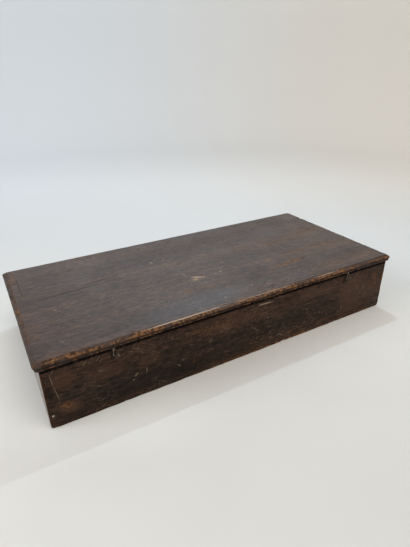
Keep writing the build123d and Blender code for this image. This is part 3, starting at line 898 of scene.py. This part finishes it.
# %% Wave, wear and dent a board
bodies = frame["record"]["behaviour"]["bodies"]
body_of = {node: body for body, nodes in bodies.items() for node in nodes}
slot_of = {subpart["node"]: subpart["material_slot"] for subpart in frame["record"]["subparts"]}

WAVES_PER_METRE = 22
WEAR_PATCHES_PER_METRE = 95
SHARP_ANGLE = math.radians(32)


def noise_values(points, scale, offset):
    """Slow noise from 0 to 1 at each point."""
    return np.array([0.5 + 0.5 * noise.noise(Vector(p) * scale + offset) for p in points]).clip(0, 1)


def box_edge_distance(points, low, high):
    """How far each point lies from the nearest arris of a plain box, in metres."""
    gaps = np.minimum(points - np.array(low), np.array(high) - points)
    return np.sort(gaps, axis=1)[:, 1]


def worn_mesh(board, name, edge_shape, wave, wear, seed, dents=(), grime_shape=None, reshape=None):
    """Moves the points and makes the mesh. edge_shape gives about 1 on an arris and 0 far from it.

    wave and wear are depths in mm. A dent: centre, radius and depth in mm.
    """
    tangled = [f for f in board.faces if len(f.verts) > 4]
    bmesh.ops.triangulate(board, faces=tangled)
    mesh = bpy.data.meshes.new(name)
    board.normal_update()
    board.to_mesh(mesh)
    board.free()
    count = len(mesh.vertices)
    points = np.empty(count * 3)
    normals = np.empty(count * 3)
    mesh.vertices.foreach_get("co", points)
    mesh.vertices.foreach_get("normal", normals)
    points, normals = points.reshape(-1, 3), normals.reshape(-1, 3)
    shift = Vector((seed * 7.3, seed * 3.1, seed * 5.7))
    edge = edge_shape(points)
    grime = grime_shape(points) if grime_shape else np.zeros(count)
    if reshape:
        points = reshape(points)
    inwards = wave * noise_values(points, WAVES_PER_METRE, shift)
    inwards += 2 * wear * edge * noise_values(points, WEAR_PATCHES_PER_METRE, shift) ** 2
    for centre, radius, depth in dents:
        near = np.linalg.norm(points - np.array(centre) * mm, axis=1) / (radius * mm)
        inwards += depth * np.where(near < 1, (1 - near ** 2) ** 2, 0)
    points = points - normals * (inwards * mm)[:, None]
    mesh.vertices.foreach_set("co", points.ravel())
    for title, values in (("edge", edge), ("grime", grime)):
        mesh.attributes.new(title, "FLOAT", "POINT").data.foreach_set("value", values.astype(np.float32))
    mesh.shade_smooth()
    mesh.set_sharp_from_angle(angle=SHARP_ANGLE)
    return mesh


def age_board(node, material, cells, chips=(), **wear):
    """Replaces a CAD board by a worn copy. wear holds what worn_mesh asks for."""
    board = copy_board(node)
    for chip in chips:
        chip_corner(board, *chip)
    slice_up(board, *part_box(node), cells)
    mesh = worn_mesh(board, "worn_" + node, **wear)
    mesh.materials.append(material)
    piece = into_scene("worn_" + node, mesh)
    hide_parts(node)
    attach(piece, body_of[node])
    return mesh


# %% [markdown]
# ## The lid
#
# The lid is one board with a moulding worked on three edges: a small bead below, a groove, a round nose
# that stands out furthest, and a nearly flat band with a low step up to the top. Rubbing shows most on
# the nose's shoulder and on the step. Near black dirt and painted shade lie in the groove, in a line
# along the nose and under the edge, and a painted highlight runs along the step. Fine cells everywhere
# would be slow, and cells of 2.5 mm are small enough for knocks.
#
# The wide thin board is worn thinner along the middle of its front edge, so a dark gap shows there over
# the case. Bending the whole board would lift its top out of its size. So only the underside of the front
# edge rises towards mid-length, and the rise fades out behind the edge.

# %% Shape the lid
# Heights above the lid's underside and insets from its outline, in mm
bead_top = 2.0
groove_top = 2.8
lower_nose_top = 3.7
# Middle of the dark line of dirt and painted shade along the nose's face
shade_and_dirt_line = 4.45
nose_top = 5.2
band_low = 5.4
step_foot = 7.3
band_high = 7.6
bottom_skin = 0.2
touch = 0.05
bead_inset = 1.9
nose_inset = 2.4
outer_inset = 2.5
shoulder_inset = 1.6
flat_inset = 6.0

bow_depth = 42 * mm
corner_reach = 7 * mm
knock_count = 150
small_dent_count = 60
# Where knocks land: inset and height of nose, shoulder, bead and step, in mm
knock_rows = ((0.2, 4.4), (0.8, 6.4), (1.1, 1.2), (5.4, 8.0))
lid_random = random.Random(11)


def on_edge_profile(points):
    """How far in from the lid's outline and how far above its underside each point lies, in mm."""
    x, y, z = points.T
    inset = np.minimum(np.minimum(x - lid_low.x, lid_high.x - x), y - lid_low.y)
    return inset / mm, (z - lid_low.z) / mm


def bump_at(values, middle, width):
    """1 at the middle, falling away smoothly on both sides."""
    return np.exp(-((values - middle) / width) ** 2)


def lid_edges(points):
    """About 1 where hands rub: step, shoulder, nose and bead. Less on the back arris and the ends."""
    inset, above = on_edge_profile(points)
    step = 0.8 * bump_at(inset, moulding_width / mm, 1.3) * (above > step_foot)
    shoulder = 1.1 * bump_at(inset, shoulder_inset, 3.0) * (above > nose_top)
    nose = 0.9 * (inset < nose_inset) * (above > groove_top) * (above <= nose_top)
    bead = 1.0 * (inset < bead_inset) * (above > bottom_skin) * (above < bead_top + 2 * touch)
    from_arris = box_edge_distance(points, lid_low, lid_high) / mm
    back_arris = 0.6 * np.exp(-from_arris / 1.2) * (inset > flat_inset)
    from_end = np.minimum(points[:, 0] - lid_low.x, lid_high.x - points[:, 0])
    on_end = from_end < points[:, 1] - lid_low.y - corner_reach
    return np.maximum.reduce([step, shoulder, nose, bead, back_arris]) * np.where(on_end, 0.45, 1.0)


def lid_shade_and_dirt(points):
    """About 1 where dirt and painted shade lie: in the groove, along the nose and under the edge. Little on
    the band.
    """
    inset, above = on_edge_profile(points)
    outer = inset < outer_inset
    groove = 0.9 * outer * (above > bead_top - touch) * (above < groove_top + touch)
    under_nose = 0.35 * outer * (above >= groove_top) * (above < lower_nose_top)
    face = 1.0 * outer * bump_at(above, shade_and_dirt_line, 0.95)
    underside = 0.95 * outer * (above < bottom_skin)
    band = 0.12 * (inset < moulding_width / mm + touch) * (above >= band_low) * (above < band_high)
    return np.maximum.reduce([groove, under_nose, face, underside, band])


def raise_front_underside(points):
    """Lifts the lower part of the front edge, most at mid-length."""
    behind = ((points[:, 1] - lid_low.y) / bow_depth).clip(0, 1)
    along = 1 - (points[:, 0] / half_length) ** 2
    below = 1 - (points[:, 2] - lid_low.z) / (lid_high.z - lid_low.z)
    raised = points.copy()
    raised[:, 2] += bow_height * along * below * (1 - behind) ** 2
    return raised


def edge_knocks(count):
    """Small random dents along the front and end mouldings."""
    knocks = []
    for _ in range(count):
        inset, above = lid_random.choice(knock_rows)
        height = lid_low.z / mm + above
        size = lid_random.uniform(1.6, 4.2)
        depth = lid_random.uniform(0.15, 0.6)
        if lid_random.random() < 0.62:
            x = lid_random.uniform(lid_low.x, lid_high.x) / mm
            knocks.append(((x, lid_low.y / mm + inset, height), size, depth))
        else:
            y = lid_random.uniform(lid_low.y, lid_high.y) / mm
            side = lid_low.x / mm + inset if lid_random.random() < 0.5 else lid_high.x / mm - inset
            knocks.append(((side, y, height), size, depth))
    return knocks


lid_dents = edge_knocks(knock_count)
lid_dents += [((-22, -33, top), 7.0, 0.5), ((-33, -32, top), 7.0, 0.45), ((243, 81, top), 5.0, 0.8)]
lid_dents += [((249.5, 81, top - 3), 5.0, 1.6), ((-190, 14, top), 9.0, 0.2), ((-206, -22, top), 5.0, 0.35)]
for _ in range(small_dent_count):
    spot = (lid_random.uniform(-238, 238), lid_random.uniform(-105, 108), top)
    lid_dents.append((spot, lid_random.uniform(2.5, 6.0), lid_random.uniform(0.06, 0.22)))

lid_cells = ((2.5, 2.5, 0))
lid_mesh = age_board(
    "lid_board", lid_wood, lid_cells, edge_shape=lid_edges, wave=0.22, wear=0.35, seed=1,
    dents=lid_dents, grime_shape=lid_shade_and_dirt, reshape=raise_front_underside,
)
print("lid faces:", len(lid_mesh.polygons))


# %% [markdown]
# ## The case boards
#
# Front, back and ends lap at the corners. The front's lower right corner was knocked off, and the long
# arrises are rubbed and dented. A corner could be pressed in like a dent, but a chip leaves a flat
# facet, so the chips are cut off first, and the cells follow them.

# %% Shape the case boards
def plain_edges(node, reach):
    """A function that gives 1 on the arrises of a node's own box."""
    low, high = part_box(node)
    return lambda points: np.exp(-box_edge_distance(points, low, high) / (reach * mm))


case_random = random.Random(5)
case_knock_count = 45


def board_knocks(node, count):
    """Random dents along a board's long arrises."""
    low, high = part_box(node)
    knocks = []
    for _ in range(count):
        spot = [case_random.uniform(a, b) / mm for a, b in zip(low, high)]
        spot[2] = case_random.choice((low.z, high.z)) / mm
        if high.x - low.x > high.y - low.y:
            spot[1] = case_random.choice((low.y, high.y)) / mm
        else:
            spot[0] = case_random.choice((low.x, high.x)) / mm
        knocks.append((spot, case_random.uniform(2.5, 5.5), case_random.uniform(0.2, 0.7)))
    return knocks


# Each chip: the corner, the direction it was struck from and its depth in mm
case_chips = {
    "front_board": [
        ((front_high.x, front_low.y, 0), (0.75, -0.35, -0.55), 2.6),
        ((front_low.x, front_low.y, 0), (-0.6, -0.5, -0.6), 1.8),
        ((front_high.x, front_low.y, front_high.z), (0.6, -0.5, 0.6), 1.4),
    ],
    "back_board": [
        ((back_low.x, back_high.y, 0), (-0.6, 0.5, -0.6), 2.0),
        ((back_high.x, back_high.y, 0), (0.6, 0.5, -0.6), 1.6),
    ],
}
# Each board: its material and its cells along X, Y and Z in mm
case_looks = {
    "front_board": (front_wood, (3, 0, 3)), "back_board": (back_wood, (4, 0, 4)),
    "left_end_board": (end_wood_painted_pale, (0, 3.5, 3.5)), "right_end_board": (end_wood_painted_pale, (0, 3.5, 3.5)),
}
for seed, (node, (material, cells)) in enumerate(case_looks.items(), 2):
    cells = cells
    mesh = age_board(
        node, material, cells, case_chips.get(node, []), edge_shape=plain_edges(node, 1.5),
        wave=0.15, wear=0.4, seed=seed, dents=board_knocks(node, case_knock_count),
    )
    print(node, "faces:", len(mesh.polygons))

# %% [markdown]
# ## Inner woodwork
#
# The bottom, runners, dividers, battens and the whole till are plain thin wood. Nobody sees them as
# closely as the lid, so they could stay as flat as in the CAD model, but then each lane would look cut
# by machine. They get the same treatment with wider cells and lighter wear, in one loop that asks each
# board which way it runs.

# %% Shape the inner woodwork
inner_nodes = [node for node, slot in slot_of.items() if slot == "inner_wood"]
for seed, node in enumerate(inner_nodes, 10):
    low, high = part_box(node)
    runs_along_x = high.x - low.x > high.y - low.y
    # Cells along X, Y and Z in mm
    cells = (8, 0, 7) if runs_along_x else (0, 8, 7)
    if node in ("bottom_board", "till_floor"):
        cells = (10, 10, 0)
    wood = long_inner_wood if runs_along_x else cross_inner_wood
    age_board(node, wood, cells, edge_shape=plain_edges(node, 1.0), wave=0.08, wear=0.2, seed=seed)
print("inner boards:", len(inner_nodes))

# %% [markdown]
# ## Hinges, screws, nails and catches
#
# These small metal pieces have their true shapes in the CAD model, down to the knuckles and the screw
# slots. Copies could be worn like the boards, but brass and steel keep their edges, so the pieces stay
# as they are and only get their finish.

# %% Give the metal pieces their finish
for node, slot in slot_of.items():
    if slot in metal_of:
        for mesh_slot in frame["nodes"][node].material_slots:
            mesh_slot.material = metal_of[slot]
print("metal pieces:", sum(slot in metal_of for slot in slot_of.values()))

# %% [markdown]
# ## The table and the room
#
# The box stood on a pale cloth. A flat floor would end in a hard line behind the box, and a world colour
# alone would give no shadow. So the floor is a wide disc whose rim curves up into a low wall all round,
# which looks the same from every side. It is marked as stage, because it isn't part of the box.

# %% Make the floor
floor_radius = 1.35
rim_radius = 0.45
wall_height = 1.0
floor_steps = 6
rim_steps = 12


def floor_profile():
    """Points from the middle of the floor out to the top of the wall."""
    points = [(floor_radius * i / floor_steps, 0.0) for i in range(floor_steps)]
    for i in range(rim_steps + 1):
        angle = math.pi / 2 * i / rim_steps
        points.append((floor_radius + rim_radius * math.sin(angle), rim_radius * (1 - math.cos(angle))))
    return points + [(floor_radius + rim_radius, wall_height)]


floor_build = bmesh.new()
profile = [floor_build.verts.new((r, 0, z)) for r, z in floor_profile()]
lines = [floor_build.edges.new(pair) for pair in zip(profile, profile[1:])]
bmesh.ops.spin(
    floor_build, geom=profile + lines, cent=(0, 0, 0), axis=(0, 0, 1), angle=math.tau, steps=96,
    use_merge=True,
)
bmesh.ops.remove_doubles(floor_build, verts=floor_build.verts, dist=1e-5)
bmesh.ops.recalc_face_normals(floor_build, faces=floor_build.faces)
floor_mesh = bpy.data.meshes.new("pale_floor")
floor_build.to_mesh(floor_mesh)
floor_build.free()
floor_mesh.shade_smooth()
floor = into_scene("pale_floor", floor_mesh)
floor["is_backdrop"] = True
print("floor faces:", len(floor_mesh.polygons))

# %% [markdown]
# The cloth looks white, but the pale room's light tints and shades it: darker in front of the box, most
# on the right, and in a cool band just behind it, cooler at the back left, warmer at the back right,
# lighter far behind and beside the left end. More lamps could do this and would also tint the box. So
# this light and shade is painted into the cloth's own colour, which changes slowly over the floor, seen
# from the middle of the box.

# %% Colour the floor
cloth, skin, place = new_material("pale_cloth")
way_ahead = Vector((forward.x, forward.y, 0)).normalized()
across, ahead = (
    add("ShaderNodeVectorMath", {0: place, 1: tuple(way)}, operation="DOT_PRODUCT").outputs["Value"]
    for way in (level_right, way_ahead)
)
# Each patch of painted light and shade: its colour, its share, and the soft steps that bound it
painted_light_patches = (
    ((0.595, 0.590, 0.575), 0.6, ((ahead, 0.0, -0.3), (across, -0.35, 0.15))),
    ((0.775, 0.785, 0.765), 1.0, ((ahead, -0.27, -0.19), (ahead, 0.1, -0.05), (across, 0.05, -0.08))),
    ((0.770, 0.770, 0.750), 0.8, ((ahead, 0.4, 0.9),)),
    ((0.765, 0.820, 0.880), 0.9, ((ahead, 0.0, 0.5), (across, 0.6, -0.75))),
    ((0.770, 0.740, 0.695), 0.8, ((ahead, 0.0, 0.5), (across, 0.0, 0.9))),
    ((0.635, 0.665, 0.685), 0.7, ((ahead, -0.05, 0.15), (ahead, 0.8, 0.3))),
)
uneven = ease(mottle(place, 5.0, 2.0), 0.35, 0.65)
tone = blend(uneven, (0.715, 0.72, 0.70), (0.69, 0.685, 0.66))
for colour, share, steps in painted_light_patches:
    for direction, start, end in steps:
        share = times(ease(direction, start, end), share)
    tone = blend(share, tone, colour)
feed(skin, {"Base Color": tone, "Roughness": 0.9, "Specular IOR Level": 0.1})
floor_mesh.materials.append(cloth)
print("patches of the floor's colour:", len(painted_light_patches))

# %% [markdown]
# ## Light
#
# The shadow has a clean edge. At the right end it falls almost straight to the front, and at the left
# end it spreads far to the left. So one small light stands near, just beyond the back right corner and
# about 0.9 m up. A far sun would throw the same shadow from both ends. The rest is the even light of a
# pale room: a world colour, which is brighter where the camera sees it, a wide lamp above the front, a
# window on the left that opens up the shade beside that end, and a faint cool one that the lid mirrors.

# %% Set up the light
room_strength = 0.52
seen_extra = 0.25

world = bpy.data.worlds.new("pale_room")
world.use_nodes = True
room_nodes = world.node_tree.nodes
seen = room_nodes.new("ShaderNodeLightPath").outputs["Is Camera Ray"]
strength = calc("MULTIPLY_ADD", seen, seen_extra, room_strength)
feed(room_nodes["Background"], {"Color": (1.0, 0.97, 0.93, 1), "Strength": strength})
bpy.context.scene.world = world


def lamp(name, direction, distance, size, power, colour):
    """A round soft lamp that looks at the box. Distance and size are in metres, power in watts."""
    data = bpy.data.lights.new(name, "AREA")
    data.shape = "DISK"
    data.size = size
    data.energy = power
    data.color = colour
    made = into_scene(name, data)
    made.location = Vector(direction).normalized() * distance
    made.rotation_euler = made.location.to_track_quat("Z", "Y").to_euler()


lamp("main_light", (0.34, 0.285, 0.90), 1.0, 0.02, 1.75, (0.72, 0.88, 1.0))
lamp("room_light", (0.10, -0.55, 1.0), 2.3, 1.6, 19.5, (1.0, 0.93, 0.85))
lamp("far_window", (0.36, 0.94, 0.60), 2.4, 1.5, 4.4, (0.80, 0.91, 1.0))
lamp("left_window", (-1.0, 0.10, 0.55), 2.0, 1.4, 25.0, (0.93, 0.95, 1.0))

# %% [markdown]
# ## The finished size
#
# The last line prints the size of the box round the finished model, without the floor.

# %% Print the finished size
low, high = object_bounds()
print("visual box, mm:", [round(v / mm, 1) for v in high - low])
